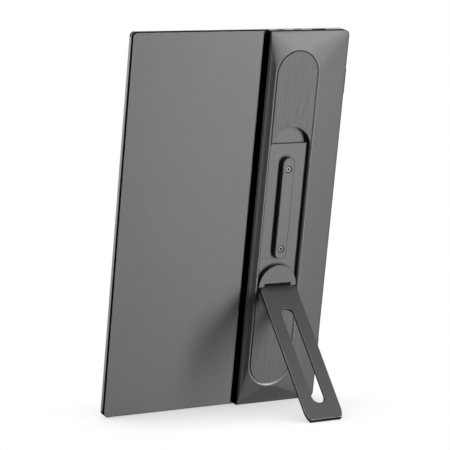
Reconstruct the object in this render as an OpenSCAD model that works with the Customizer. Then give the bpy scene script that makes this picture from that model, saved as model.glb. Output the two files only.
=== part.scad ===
/* [Slab] */
// Width of the slab, across the short side of the screen
slab_w = 221.5; // [210:0.5:240]
// Height of the slab as it stands on end
slab_h = 355; // [345:1:380]
// Radius of the slab's corners
corner_r = 4.5; // [3:0.5:5]
// Depth of the black frame behind the screen
frame_d = 2.75; // [2.7:0.05:3.2]
// Depth of the front bezel
bezel_d = 1.75; // [1.7:0.05:2.2]
// Thickness of the metal back sheet
back_t = 0.8; // [0.6:0.05:0.9]
// Thickness of the screen glass
glass_t = 0.8; // [0.6:0.05:0.9]
// Thickness of the LCD cell
lcd_t = 1.1; // [0.9:0.05:1.2]

/* [Cover] */
// Thickness of the front cover
cover_t = 2; // [2:0.1:2.4]
// Gap between the closed cover and the glass
cover_gap = 0.3; // [0.3:0.05:0.5]
// Width of the light rail on the cover's free edge
rail_w = 1.5; // [1.2:0.1:1.8]
// Depth of that rail
rail_d = 3.85; // [3.3:0.05:3.85]

/* [Rear housing] */
// Width of the thick part along one long edge
housing_w = 84.8; // [82:0.2:90]
// Height of its walls above the slab's back
edge_y = 5.68; // [5:0.01:6]
// Height of its crown, where the stand sits
crown_y = 9; // [8.9:0.1:9.6]
// Wall thickness of the housing
housing_wall = 1.2; // [1:0.1:1.4]
// How far the black side strip runs out at its foot
strip_foot = 2.75; // [1.5:0.25:4]

/* [Stand] */
// Distance from the long edge to the stand's centre line
stand_in = 54.05; // [53:0.05:56]
// Outer radius of the bright ring
ring_r = 23.5; // [23.2:0.1:24]
// Width of the bright ring
ring_band = 2.3; // [2:0.1:2.5]
// Height of the turntable's centre above the slab's lower end
pivot_z = 115.3; // [108:0.1:122]
// Height of the recess floor above the slab's back
floor_y = 4.9; // [4.8:0.05:5]
// Depth of the finger notch below that floor
notch_d = 2.1; // [1.5:0.1:2.1]

/* [Leg] */
// Length of the leg from its hinge pin to the end of its foot
leg_len = 142; // [132:0.5:150]
// Width of the leg
leg_w = 39; // [37:0.5:39]
// Thickness of the leg
leg_t = 3; // [2.6:0.1:3]
// Angle between the opened leg and the slab's back
leg_angle = 46.8; // [42:0.1:60]
// Width of the long slot in the leg
slot_w = 13.4; // [12:0.2:15]
// Radius of the hinge pin
pin_r = 0.75; // [0.6:0.05:0.8]

/* [Ports and keys] */
// Width of a small socket's mouth
usb_w = 9; // [8.6:0.1:9.6]
// Height of a small socket's mouth
usb_h = 2.6; // [2.4:0.05:2.8]
// Width of the video socket
video_w = 14.4; // [13:0.1:15.5]
// Height of the video socket
video_h = 4.9; // [4.6:0.1:5]
// Travel of the two keys
key_travel = 0.35; // [0.2:0.05:0.4]

/* [Hidden] */
$fn = 96;
hull_fn = 32;

// clearances
run_gap = 0.3;
pin_gap = 0.05;
cut = 1;

// depths, measured along Y from the slab's back: the screen side is negative
bezel_y = -(frame_d + bezel_d);
glass_back = bezel_y + glass_t;
lcd_back = glass_back + lcd_t;
diffuser_back = lcd_back + 0.4;
guide_back = -back_t - 0.2;
lining_y = bezel_y - cover_gap;
lining_t = 0.6;
cover_y = lining_y - cover_t;
rim = 0.4;

// the screen's openings
side_bezel = 3.25;
end_bezel = 9.5;
ledge = 1.5;
cell_gap = 0.5;
cell_w = slab_w - 2 * (side_bezel + ledge);
cell_h = slab_h - 2 * end_bezel - 2 * ledge;

// places across: the stand is near the long edge at negative X
edge_x = -slab_w / 2;
free_x = slab_w / 2;
stand_x = edge_x + stand_in;
housing_x = edge_x + housing_w;

// the cover's hinge
barrel_r = cover_t / 2;
barrel_x = edge_x + barrel_r;
barrel_y = cover_y + barrel_r;
hinge_pin_r = 0.42;
knuckle_len = 14;
barrel_end = 8;
KNUCKLES = [for (part = [0.12, 0.5, 0.88]) slab_h * part];

// the stand's outline
recess_r = ring_r - ring_band;
pill_low = 40.9;
pill_high = slab_h - 39.3;
ring_y = crown_y - 2;
plate_y = crown_y - 1;
tray_r = ring_r - 0.9;
tray_wall = 1.4;

// the leg and its hinge
hinge_up = 1.1;
hinge_y = 7.1;
hinge_z = pivot_z + hinge_up;
leg_face = 1.34;
leg_under = leg_face - leg_t;
knuckle_r = 1.5;
tongue_w = 28.1;
shoulder_s = 3.3;
shoulder_r = 2.5;
foot_t = 1;
leg_arc_s = leg_len - 10.7;
slot_near = 26.4;
slot_far = leg_len - 17.6;

// the recess follows the folded leg
fold_z = pivot_z - hinge_up;
arc_z = fold_z + leg_arc_s;
insert_gap = 0.5;
insert_r = slot_w / 2 - insert_gap;
insert_low = fold_z + slot_near + insert_gap;
insert_high = fold_z + slot_far - insert_gap;
insert_y = crown_y + 0.3;
INSERT_SCREWS = [insert_low + 9.9, insert_high - 11.3];
notch_w = 37.4;
notch_up = 4.8;

// the turntable
disc_r = recess_r - run_gap;
half_r = recess_r - 1.3;
disc_low = 3.5;
disc_top = floor_y + 0.1;
chord_down = 0.4;
notch_top = hinge_up + knuckle_r + run_gap;
rivet_r = 2.5;
rivet_head_r = 5;

// the ports
port_wall = 0.8;
port_z = slab_h - port_wall;
port_deep = 8.5;
usb_deep = 7.3;
video_deep = 7;
usb_y = -2.6;
video_y = -0.45;
USB_X = [edge_x + 69.7, edge_x + 51.5];
VIDEO_X = edge_x + 29.7;
plate_x0 = edge_x;
plate_x1 = housing_x - 2.4;
bay_x0 = edge_x + 7.5;
bay_x1 = housing_x - 8.5;

// the keys, in the lower end near the free edge
KEYS = [free_x - 36, free_x - 58];
KEY_LEN = [11, 17];
key_y = -1.6;
key_t = 1.1;
key_proud = 0.5;
key_wall = 2;

// boards beside the stand
bay_left = edge_x + 3.5;
bay_right = stand_x - tray_r - 2.6;
board_y = 1;
board_t = 1;
board_low = 122;
board_high = slab_h - 57;
BOARD_HOLES_Z = [board_low + 6, board_high - 6];
ribbon_mid = (board_low + board_high) / 2;
ribbon_h = 40;
CHIPS_Z = [ribbon_mid - 5, ribbon_mid + 22, ribbon_mid + 45];
chip_size = 10;
speaker_w = 13.3;
speaker_h = 42;
speaker_end = 10;

// the stance: the lean comes from the leg, and the foot reaches the floor
foot_z = hinge_z - leg_len * cos(leg_angle) + leg_under * sin(leg_angle);
foot_y = hinge_y + leg_len * sin(leg_angle) + leg_under * cos(leg_angle);
lean = atan2(foot_z, foot_y - edge_y);
tip_z = foot_z + leg_t * sin(leg_angle);
tip_y = foot_y + leg_t * cos(leg_angle);
front_y = cover_y * cos(lean);
rear_y = tip_y * cos(lean) + tip_z * sin(lean);
feet_proud = 0.7;

// ---- helpers ----

// stands the slab on its lower end, leaning back on its leg
module upright()
    translate([feet_proud / 2, -(front_y + rear_y) / 2, edge_y * sin(lean)])
        rotate([-lean, 0, 0]) children();

// gives an outline drawn in X and Z a thickness from y0 to y1
module layer(y0, y1)
    translate([0, y1, 0]) rotate([90, 0, 0]) linear_extrude(y1 - y0) children();

module block(x0, x1, y0, y1, z0, z1)
    translate([x0, y0, z0]) cube([x1 - x0, y1 - y0, z1 - z0]);

// a round bar along Y, centred on X and Z = 0
module rod_y(r, y0, y1) translate([0, y0, 0]) rotate([-90, 0, 0]) cylinder(r = r, h = y1 - y0);

// a round bar along X, centred on its middle
module rod_x(r, h) rotate([0, 90, 0]) cylinder(r = r, h = h, center = true);

module rounded(w, h, r) {
    square([w - 2 * r, h], center = true);
    square([w, h - 2 * r], center = true);
    for (x = [-1, 1], z = [-1, 1]) translate([x * (w / 2 - r), z * (h / 2 - r)]) circle(r);
}

module slab_outline(inset)
    translate([0, slab_h / 2]) rounded(slab_w - 2 * inset, slab_h - 2 * inset, corner_r - inset);

// an upright outline with round ends, its arc centres at z0 and z1
module stadium(z0, z1, r) {
    translate([-r, z0]) square([2 * r, z1 - z0]);
    for (z = [z0, z1]) translate([0, z]) circle(r);
}

module at_stand() translate([stand_x, 0, 0]) children();

module at_pivot() translate([stand_x, 0, pivot_z]) children();

module at_insert_screws() at_stand() for (z = INSERT_SCREWS) translate([0, 0, z]) children();

// the slot in an edge that takes a key, or the part of the key inside it
module key_block(i, grow, y_grow, z0, z1)
    block(KEYS[i] - KEY_LEN[i] / 2 - grow, KEYS[i] + KEY_LEN[i] / 2 + grow,
          key_y - key_t / 2 - y_grow, key_y + key_t / 2 + y_grow, z0, z1);

// the space that the port plate takes at the slab's upper end
module port_plate_space(grow)
    block(plate_x0 - grow, plate_x1 + grow, cover_y - cut, cut, port_z - grow, slab_h + cut);

// the mouths of the three sockets, as bars along Z
module socket_mouths(grow, z0, z1) {
    for (x = USB_X) translate([x, usb_y, z0])
        linear_extrude(z1 - z0) rounded(usb_w + 2 * grow, usb_h + 2 * grow, usb_h / 2 + grow - 0.05);
    translate([VIDEO_X, video_y, z0])
        linear_extrude(z1 - z0) rounded(video_w + 2 * grow, video_h + 2 * grow, 0.8);
}

// ---- slab ----

module rear_panel() color([0.42, 0.42, 0.43]) upright() difference() {
    layer(-back_t, 0) slab_outline(rim);
    port_plate_space(0);
    block(bay_x0, bay_x1, -back_t - cut, cut, port_z - port_deep, slab_h);
    ribbon_slot();
}

module mid_frame() color([0.04, 0.04, 0.04]) upright() difference() {
    layer(-frame_d, 0) slab_outline(0);
    layer(-back_t, cut) slab_outline(rim);
    screen_opening(-frame_d - cut, cut);
    port_plate_space(0);
    block(bay_x0, bay_x1, -frame_d - cut, cut, port_z - port_deep, slab_h);
    ribbon_slot();
    for (i = [0, 1]) key_block(i, 0.25, 0.15, -cut, key_wall + cut);
    key_pocket(-frame_d - cut, cut);
}

// the hollow behind the two keys, with their switches
module key_pocket(y0, y1)
    block(KEYS[1] - KEY_LEN[1] / 2 - 4, KEYS[0] + KEY_LEN[0] / 2 + 4, y0, y1, key_wall, end_bezel - 1.5);

module screen_opening(y0, y1)
    block(-cell_w / 2, cell_w / 2, y0, y1, end_bezel + ledge, slab_h - end_bezel - ledge);

// the way through for the ribbon between the boards and the screen
module ribbon_slot()
    block(edge_x + 2.4, edge_x + side_bezel + ledge + cut, glass_back, 3,
          ribbon_mid - ribbon_h / 2 - 1, ribbon_mid + ribbon_h / 2 + 1);

module front_frame() color([0.07, 0.07, 0.08]) upright() difference() {
    layer(bezel_y, -frame_d) slab_outline(0);
    block(-slab_w / 2 + side_bezel, slab_w / 2 - side_bezel, bezel_y - cut, glass_back,
          end_bezel, slab_h - end_bezel);
    screen_opening(bezel_y, cut);
    port_plate_space(0);
    ribbon_slot();
    block(free_x - rail_w - 0.4, free_x + cut, bezel_y - cut, cut,
          corner_r - run_gap, slab_h - corner_r + run_gap);
    socket_mouths(0.05, port_z - port_deep, slab_h);
    magnet_blocks();
}

module screen_glass() color([0.02, 0.02, 0.03]) upright()
    block(-slab_w / 2 + side_bezel, slab_w / 2 - side_bezel, bezel_y, glass_back,
          end_bezel, slab_h - end_bezel);

// a flat sheet of the screen's stack
module cell_sheet(y0, y1)
    block(-cell_w / 2 + cell_gap, cell_w / 2 - cell_gap, y0, y1,
          end_bezel + ledge + cell_gap, slab_h - end_bezel - ledge - cell_gap);

module lcd_panel() color([0.1, 0.1, 0.12]) upright() cell_sheet(glass_back, lcd_back);

module diffuser_sheet() color([0.9, 0.9, 0.88]) upright() cell_sheet(lcd_back, diffuser_back);

led_w = 1.6;
led_z0 = end_bezel + ledge + 10;
module light_guide() color([0.8, 0.85, 0.85]) upright() difference() {
    cell_sheet(diffuser_back, guide_back);
    block(-cell_w / 2, -cell_w / 2 + cell_gap + led_w, diffuser_back - cut, guide_back + cut,
          led_z0 - cut, slab_h - led_z0 + cut);
}

module reflector_sheet() color([0.95, 0.95, 0.95]) upright() cell_sheet(guide_back, -back_t);

module led_bar() color([0.85, 0.8, 0.4]) upright()
    block(-cell_w / 2 + cell_gap, -cell_w / 2 + cell_gap + led_w, diffuser_back, guide_back,
          led_z0, slab_h - led_z0);

// ---- rear housing ----

// the domed block over the long edge, shrunk by inset on every side
module housing_solid(inset, y0) hull() {
    layer(y0, edge_y - inset) {
        for (z = [corner_r, slab_h - corner_r])
            translate([edge_x + corner_r, z]) circle(corner_r - inset, $fn = hull_fn);
        for (z = [inset, slab_h - inset - 1])
            translate([housing_x - inset - 1, z]) square(1);
    }
    layer(crown_y - inset - 0.01, crown_y - inset) at_stand_outline() stadium_hull(ring_r);
}

module at_stand_outline() translate([stand_x, 0]) children();

module stadium_hull(r) for (z = [pill_low, pill_high]) translate([0, z]) circle(r, $fn = 2 * hull_fn);

module housing_shell() color([0.45, 0.45, 0.46]) upright() difference() {
    housing_solid(0, 0);
    housing_solid(housing_wall, -cut);
    layer(-cut, crown_y + cut) at_stand_outline() stadium(pill_low, pill_high, ring_r + run_gap);
    socket_mouths(0.1, port_z - port_deep, slab_h + cut);
}

// a long wedge with its two ends cut back at 45 degrees
module housing_side_strip() color([0.02, 0.02, 0.02]) upright() difference() {
    linear_extrude(slab_h)
        polygon([[housing_x, 0], [housing_x + strip_foot, 0], [housing_x, edge_y]]);
    strip_end();
    translate([0, 0, slab_h]) mirror([0, 0, 1]) strip_end();
}

module strip_end() {
    reach = 2 * strip_foot;
    layer(-cut, edge_y + cut)
        polygon([[housing_x - cut - 0.2, -cut], [housing_x + reach, -cut],
                 [housing_x + reach, reach + 0.2]]);
}

module port_plate() color([0.78, 0.78, 0.78]) upright() difference() {
    intersection() {
        layer(cover_y, 0) slab_outline(0);
        block(plate_x0, plate_x1, cover_y - cut, cut, port_z, slab_h + cut);
    }
    socket_mouths(0, port_z - cut, slab_h + cut);
}

foot_len = 23;
module edge_feet() color([0.05, 0.05, 0.05]) upright()
    for (z = [36, slab_h - 36 - foot_len])
        block(edge_x - feet_proud, edge_x, 1, edge_y - 0.6, z, z + foot_len);

// ---- stand ----

ring_fall = 0.7;
ring_lip = 0.4;
module stand_ring() color([0.75, 0.75, 0.76]) upright() difference() {
    layer(ring_y, crown_y) at_stand_outline() difference() {
        stadium(pill_low, pill_high, ring_r);
        stadium(pill_low, pill_high, recess_r);
    }
    at_stand() {
        for (z = [pill_low, pill_high]) translate([0, crown_y - ring_fall, z]) rotate([-90, 0, 0])
            cylinder(r1 = recess_r, r2 = ring_r - ring_lip, h = ring_fall);
        translate([0, 0, pill_low]) linear_extrude(pill_high - pill_low) polygon([
            [-recess_r, crown_y - ring_fall], [recess_r, crown_y - ring_fall],
            [ring_r - ring_lip, crown_y], [ring_lip - ring_r, crown_y]]);
    }
}

// the flush plates above and below the recess
module plate_outline() difference() {
    stadium(pill_low, pill_high, recess_r - 0.1);
    stadium(pivot_z, arc_z, recess_r);
    translate([-recess_r, pivot_z - 5]) square([2 * recess_r, arc_z - pivot_z + 10]);
}

module upper_plate() color([0.5, 0.49, 0.48]) upright() layer(plate_y, crown_y) at_stand_outline()
    intersection() {
        plate_outline();
        translate([-ring_r, arc_z]) square([2 * ring_r, slab_h]);
    }

module lower_plate() color([0.45, 0.44, 0.43]) upright() layer(plate_y, crown_y) at_stand_outline()
    intersection() {
        plate_outline();
        translate([-ring_r, -ring_r]) square([2 * ring_r, pivot_z + ring_r]);
    }

module notch_outline() intersection() {
    translate([0, arc_z]) circle(recess_r - 0.2);
    translate([0, arc_z + notch_up + recess_r / 2]) square([notch_w, recess_r], center = true);
}

under_disc = 2;
under_floor = floor_y - 1.2;
under_notch = floor_y - notch_d - 0.8;
module stand_tray() color([0.4, 0.4, 0.41]) upright() difference() {
    at_stand() {
        layer(0, ring_y) stadium(pill_low, pill_high, tray_r);
        layer(ring_y - cut, plate_y) stadium(pill_low, pill_high, recess_r - 0.1);
    }
    at_stand() {
        layer(floor_y, crown_y) stadium(pivot_z, arc_z, recess_r);
        layer(floor_y - notch_d, crown_y) notch_outline();
        layer(-cut, under_notch) stadium(pill_low, pill_high, tray_r - tray_wall);
        difference() {
            block(-18, 18, 0, under_floor, pivot_z + 26, arc_z + notch_up - tray_wall);
            for (z = INSERT_SCREWS) translate([0, 0, z]) rod_y(3, -cut, crown_y);
        }
        block(-14, 14, 0, plate_y - 1.2, arc_z + recess_r + tray_wall, pill_high + 12);
        block(-14, 14, 0, plate_y - 1.2, pill_low - 12, pivot_z - recess_r - tray_wall);
    }
    at_pivot() {
        rod_y(recess_r, disc_low - 0.1, crown_y);
        rod_y(rivet_r + pin_gap, 0, crown_y);
    }
    at_insert_screws() rod_y(screw_r + pin_gap, 0, crown_y);
}

screw_r = 1;
base_t = 0.8;
module stand_base_plate() color([0.6, 0.6, 0.62]) upright() difference() {
    union() {
        layer(0, base_t) at_stand_outline() stadium(pill_low, pill_high, tray_r - tray_wall - 0.3);
        at_insert_screws() rod_y(3, base_t, under_notch);
    }
    at_insert_screws() rod_y(screw_r + pin_gap, -cut, crown_y);
}

head_r = 2.6;
head_t = 0.9;
head_low = 0.6;
sink_r = 3.3;
socket_r = 1.15;
module raised_insert() color([0.42, 0.42, 0.43]) upright() difference() {
    layer(floor_y, insert_y) at_stand_outline()
        stadium(insert_low + insert_r, insert_high - insert_r, insert_r);
    at_insert_screws() {
        rod_y(screw_r + pin_gap, 0, crown_y + cut);
        rod_y(sink_r, insert_y - head_low - head_t, insert_y + cut);
    }
}

module insert_screws() color([0.35, 0.4, 0.48]) upright() at_insert_screws() difference() {
    union() {
        rod_y(screw_r, 0.1, insert_y - head_low - head_t);
        rod_y(head_r, insert_y - head_low - head_t, insert_y - head_low);
    }
    translate([0, insert_y - head_low - head_t / 2, 0]) rotate([-90, 0, 0])
        cylinder(r = socket_r, h = head_t, $fn = 6);
}

module turntable_rivet() color([0.6, 0.6, 0.62]) upright() at_pivot() {
    rod_y(rivet_r, under_disc - 1.1, disc_top - 0.6);
    rod_y(rivet_head_r, disc_top - 0.6, disc_top - 0.05);
}

module rivet_nut() color([0.6, 0.55, 0.3]) upright() at_pivot() difference() {
    rod_y(4.5, under_disc - 1, under_notch);
    rod_y(rivet_r + pin_gap, -cut, crown_y);
}

// ---- turntable and leg ----

module turntable_disc() color([0.45, 0.45, 0.46]) upright() at_pivot() difference() {
    union() {
        rod_y(disc_r, disc_low, disc_top);
        intersection() {
            rod_y(half_r, disc_top - 0.5, crown_y);
            block(-half_r, half_r, 0, crown_y, -chord_down, half_r);
        }
    }
    block(-tongue_w / 2 - run_gap, tongue_w / 2 + run_gap, disc_top, crown_y + cut,
          -chord_down - cut, notch_top);
    rod_y(rivet_r + pin_gap, 0, crown_y);
    rod_y(rivet_head_r + pin_gap, disc_top - 0.65, disc_top + cut);
    translate([0, hinge_y, hinge_up]) rod_x(pin_r + pin_gap, half_r * 2 - 2.4);
}

module hinge_pin() color([0.7, 0.7, 0.72]) upright()
    translate([stand_x, hinge_y, hinge_z]) rod_x(pin_r, half_r * 2 - 2.8);

// the leg is drawn hanging straight down from its pin and swung out by leg_angle
module leg_frame() translate([stand_x, hinge_y, hinge_z]) rotate([leg_angle, 0, 0]) children();

module leg_outline() {
    translate([-tongue_w / 2, -shoulder_s - shoulder_r]) square([tongue_w, shoulder_s + shoulder_r]);
    translate([-leg_w / 2 + shoulder_r, -shoulder_s - shoulder_r])
        square([leg_w - 2 * shoulder_r, shoulder_r]);
    for (x = [-1, 1]) translate([x * (leg_w / 2 - shoulder_r), -shoulder_s - shoulder_r]) circle(shoulder_r);
    translate([-leg_w / 2, -leg_arc_s]) square([leg_w, leg_arc_s - shoulder_s - shoulder_r]);
    intersection() {
        translate([0, -leg_arc_s]) circle(leg_w / 2);
        translate([-leg_w / 2, -leg_len]) square([leg_w, leg_len - leg_arc_s + cut]);
    }
}

module kick_leg() color([0.37, 0.37, 0.38]) upright() leg_frame() difference() {
    union() {
        layer(leg_under, leg_face) leg_outline();
        rod_x(knuckle_r, tongue_w);
    }
    layer(leg_under - cut, leg_face + cut)
        stadium(-slot_far + slot_w / 2, -slot_near - slot_w / 2, slot_w / 2);
    block(-leg_w, leg_w, -5, 5, -leg_len - cut, -leg_len + foot_t);
    rod_x(pin_r + pin_gap, tongue_w + cut);
}

module leg_foot_pad() color([0.08, 0.08, 0.08]) upright() leg_frame() intersection() {
    layer(leg_under, leg_face) leg_outline();
    block(-leg_w, leg_w, -5, 5, -leg_len - cut, -leg_len + foot_t);
}

// ---- cover ----

leaf_in = 7;
leaf_t = 0.7;
leaf_y = lining_y - lining_t - leaf_t;
panel_x0 = barrel_x + barrel_r + run_gap;

module cover_panel() color([0.08, 0.08, 0.09]) upright() difference() {
    intersection() {
        layer(cover_y, lining_y - lining_t) slab_outline(0);
        block(panel_x0, free_x, cover_y, 0, 0.3, slab_h - 0.3);
    }
    block(free_x - rail_w, free_x + cut, cover_y - cut, 0, corner_r, slab_h - corner_r);
    port_plate_space(run_gap);
    block(panel_x0 - cut, panel_x0 + leaf_in, leaf_y, 0, barrel_end, slab_h - barrel_end);
}

module cover_lining() color([0.2, 0.2, 0.22]) upright()
    block(panel_x0 + 0.5, free_x - rail_w - 0.5, lining_y - lining_t, lining_y,
          corner_r, slab_h - corner_r);

module cover_edge_rail() color([0.55, 0.55, 0.56]) upright() difference() {
    block(free_x - rail_w, free_x, cover_y, cover_y + rail_d, corner_r, slab_h - corner_r);
    rail_magnets();
}

magnet_len = 24;
MAGNETS_Z = [for (part = [0.2, 0.5, 0.8]) slab_h * part];
module rail_magnets() for (z = MAGNETS_Z)
    block(free_x - rail_w, free_x - 0.5, cover_y + 0.9, cover_y + rail_d - 0.5,
          z - magnet_len / 2, z + magnet_len / 2);

module cover_magnets() color([0.6, 0.6, 0.6]) upright() rail_magnets();

module magnet_blocks() for (z = MAGNETS_Z)
    block(free_x - side_bezel - 0.9, free_x - rail_w - 0.8, -frame_d - 0.85, -frame_d,
          z - magnet_len / 2, z + magnet_len / 2);

module frame_magnets() color([0.6, 0.6, 0.6]) upright() magnet_blocks();

module at_barrel(z) translate([barrel_x, barrel_y, z]) children();

module cover_hinge_leaf() color([0.3, 0.3, 0.31]) upright() difference() {
    union() {
        at_barrel(barrel_end) cylinder(r = barrel_r, h = slab_h - 2 * barrel_end);
        block(barrel_x, panel_x0 + leaf_in, leaf_y, leaf_y + leaf_t, barrel_end, slab_h - barrel_end);
    }
    at_barrel(0) cylinder(r = hinge_pin_r + pin_gap, h = slab_h);
    for (z = KNUCKLES)
        block(edge_x - cut, panel_x0, cover_y - cut, 0,
              z - knuckle_len / 2 - run_gap, z + knuckle_len / 2 + run_gap);
}

module cover_hinge_knuckles() color([0.3, 0.3, 0.31]) upright() difference() {
    for (z = KNUCKLES) {
        at_barrel(z - knuckle_len / 2) cylinder(r = barrel_r, h = knuckle_len);
        block(edge_x, edge_x + 1.9 * barrel_r, barrel_y, bezel_y, z - knuckle_len / 2, z + knuckle_len / 2);
    }
    at_barrel(0) cylinder(r = hinge_pin_r + pin_gap, h = slab_h);
}

module cover_hinge_pin() color([0.7, 0.7, 0.72]) upright()
    at_barrel(barrel_end) cylinder(r = hinge_pin_r, h = slab_h - 2 * barrel_end);

// ---- keys ----

switch_top = key_wall + 3.5;
module key_cap(i) {
    key_block(i, 0, 0, -key_proud, key_wall + 0.4);
    key_block(i, 1, 0.2, key_wall + 0.05, key_wall + 0.9);
    block(KEYS[i] - 1.2, KEYS[i] + 1.2, key_y - 0.4, key_y + 0.4, key_wall + 0.8, switch_top - 0.4);
}

module power_button() color([0.3, 0.3, 0.32]) upright() key_cap(0);

module menu_key() color([0.3, 0.3, 0.32]) upright() key_cap(1);

key_board_z = switch_top + 0.9;
module key_board() color([0.05, 0.3, 0.2]) upright()
    block(KEYS[1] - KEY_LEN[1] / 2 - 4, KEYS[0] + KEY_LEN[0] / 2 + 4,
          -frame_d + 0.3, -back_t - 0.05, key_board_z, key_board_z + 0.8);

module key_switches() color([0.7, 0.7, 0.7]) upright()
    for (x = KEYS) block(x - 2, x + 2, key_y - 0.6, key_y + 0.6, switch_top, key_board_z);

// ---- electronics ----

module at_board_holes() for (x = [bay_left + 2.2, bay_right - 2.2], z = BOARD_HOLES_Z)
    translate([x, 0, z]) children();

module main_board() color([0.05, 0.3, 0.2]) upright() difference() {
    block(bay_left, bay_right, board_y, board_y + board_t, board_low, board_high);
    at_board_holes() rod_y(0.85, 0, 3);
}

module board_chips() color([0.1, 0.1, 0.1]) upright() {
    chip_y = board_y + board_t;
    for (z = CHIPS_Z)
        block(bay_left + 7, bay_left + 7 + chip_size, chip_y, chip_y + 1, z, z + chip_size);
}

module heat_spreader() color([0.75, 0.6, 0.45]) upright()
    block(bay_left + 4, bay_right - 3, board_y + board_t + 1, board_y + board_t + 1.4,
          CHIPS_Z[0] - 5, CHIPS_Z[2] + chip_size + 5);

module board_posts() color([0.7, 0.65, 0.4]) upright() at_board_holes() difference() {
    rod_y(1.8, 0, board_y);
    rod_y(0.85, -cut, 3);
}

module board_screws() color([0.5, 0.5, 0.52]) upright() at_board_holes() {
    rod_y(0.8, 0.1, board_y + board_t);
    rod_y(1.5, board_y + board_t, board_y + board_t + 0.7);
}

board_back = usb_y + usb_h / 2;
module port_board() color([0.05, 0.3, 0.2]) upright() difference() {
    block(bay_x0 + 0.5, bay_x1 - 0.5, board_back + 0.15, board_back + 1, port_z - port_deep + 0.5, port_z);
    socket_mouths(0.1, port_z - video_deep - 0.1, port_z + cut);
}

module usb_c_sockets() color([0.6, 0.6, 0.6]) upright() difference() {
    for (x = USB_X) translate([x, usb_y, port_z - usb_deep]) {
        linear_extrude(usb_deep) rounded(usb_w, usb_h, usb_h / 2 - 0.05);
        translate([-3, 0, 0]) cube([6, usb_h / 2 + 0.15, 5]);
    }
    for (x = USB_X) translate([x, usb_y, port_z - usb_deep + 1]) difference() {
        linear_extrude(usb_deep) rounded(usb_w - 0.5, usb_h - 0.5, usb_h / 2 - 0.3);
        translate([-3.3, -0.35, -cut]) cube([6.6, 0.7, 6]);
    }
}

module video_socket() color([0.6, 0.6, 0.6]) upright() translate([VIDEO_X, video_y, 0]) difference() {
    translate([0, 0, port_z - video_deep]) linear_extrude(video_deep) rounded(video_w, video_h, 0.7);
    translate([0, 0, port_z - video_deep + 1]) difference() {
        linear_extrude(port_deep) rounded(video_w - 0.8, video_h - 0.8, 0.5);
        translate([-5.5, -0.6, -cut]) cube([11, 1.2, video_deep]);
    }
}

module display_ribbon() color([0.6, 0.45, 0.15]) upright() {
    x = edge_x + 2.8;
    z0 = ribbon_mid - ribbon_h / 2;
    z1 = ribbon_mid + ribbon_h / 2;
    block(x, x + 0.3, lcd_back - 0.8, board_y + board_t + 0.3, z0, z1);
    block(x, bay_left + 2, board_y + board_t, board_y + board_t + 0.3, z0, z1);
    block(x, -cell_w / 2 + cell_gap, lcd_back - 0.8, lcd_back - 0.5, z0, z1);
}

ribbon_w = 5;
ribbon_under = 10;
module port_ribbon() color([0.6, 0.45, 0.15]) upright() {
    x = VIDEO_X - video_w / 2 - 0.4 - ribbon_w;
    z = port_z - port_deep + 0.6;
    low = board_high - ribbon_under;
    block(x, x + ribbon_w, 0, 0.3, low, z + 0.3);
    block(x, x + ribbon_w, board_back + 1, 0.3, z, z + 0.3);
    block(x, x + ribbon_w, board_back + 1, board_back + 1.2, z, z + 4);
    block(x, x + ribbon_w, 0, board_y, low, low + 3);
}

module speakers() color([0.1, 0.1, 0.1]) upright()
    for (z = [speaker_end + 20, slab_h - speaker_end - speaker_h]) difference() {
        translate([bay_left, 0, z]) cube([speaker_w, 3.2, speaker_h]);
        translate([bay_left + speaker_w / 2, 0, z + speaker_h / 2]) rod_y(5.5, 2.6, 4);
    }

rear_panel();
mid_frame();
front_frame();
screen_glass();
lcd_panel();
diffuser_sheet();
light_guide();
reflector_sheet();
led_bar();
housing_shell();
housing_side_strip();
port_plate();
edge_feet();
stand_ring();
upper_plate();
lower_plate();
stand_tray();
stand_base_plate();
raised_insert();
insert_screws();
turntable_rivet();
rivet_nut();
turntable_disc();
hinge_pin();
kick_leg();
leg_foot_pad();
cover_panel();
cover_lining();
cover_edge_rail();
cover_magnets();
cover_hinge_leaf();
cover_hinge_knuckles();
cover_hinge_pin();
frame_magnets();
power_button();
menu_key();
key_board();
key_switches();
main_board();
board_chips();
heat_spreader();
board_posts();
board_screws();
port_board();
usb_c_sockets();
video_socket();
display_ribbon();
port_ribbon();
speakers();
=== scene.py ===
import math

import bmesh
import bpy
import numpy as np
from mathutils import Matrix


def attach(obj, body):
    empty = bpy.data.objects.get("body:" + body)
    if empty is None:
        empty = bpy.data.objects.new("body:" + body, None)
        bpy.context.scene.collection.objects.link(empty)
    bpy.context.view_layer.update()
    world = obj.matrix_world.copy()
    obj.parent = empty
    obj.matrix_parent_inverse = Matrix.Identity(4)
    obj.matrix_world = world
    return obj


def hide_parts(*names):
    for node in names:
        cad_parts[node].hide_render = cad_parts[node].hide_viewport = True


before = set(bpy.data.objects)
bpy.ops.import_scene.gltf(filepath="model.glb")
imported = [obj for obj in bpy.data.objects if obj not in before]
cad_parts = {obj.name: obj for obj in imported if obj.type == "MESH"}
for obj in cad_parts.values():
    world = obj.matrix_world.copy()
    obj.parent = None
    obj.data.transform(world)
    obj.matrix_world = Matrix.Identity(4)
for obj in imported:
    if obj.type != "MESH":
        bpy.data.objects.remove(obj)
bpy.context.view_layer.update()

# ---- Where the viewer stands ----
# A long lens, about two metres off, behind the monitor and to the left of its back.
# It stands 6 cm higher than the slab's top and looks down by six and a half degrees.

lens = bpy.data.cameras.new("camera")
lens.lens = 183.43
lens.sensor_width = 36
lens.clip_start = 0.1
lens.clip_end = 60
camera = bpy.data.objects.new("camera", lens)
camera.location = (1.05427, 1.76587, 0.41069)
camera.rotation_euler = [math.radians(a) for a in (83.48085, -0.00461, 149.51315)]
bpy.context.collection.objects.link(camera)
bpy.context.scene.camera = camera
bpy.context.scene.view_settings.view_transform = "Standard"

# ---- The room ----
# A plain white room on a pale floor. Its walls give little light of their own, so metal that is turned away
# from the lamps is dark, but where metal mirrors the wall behind the monitor it sees it white.


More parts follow.
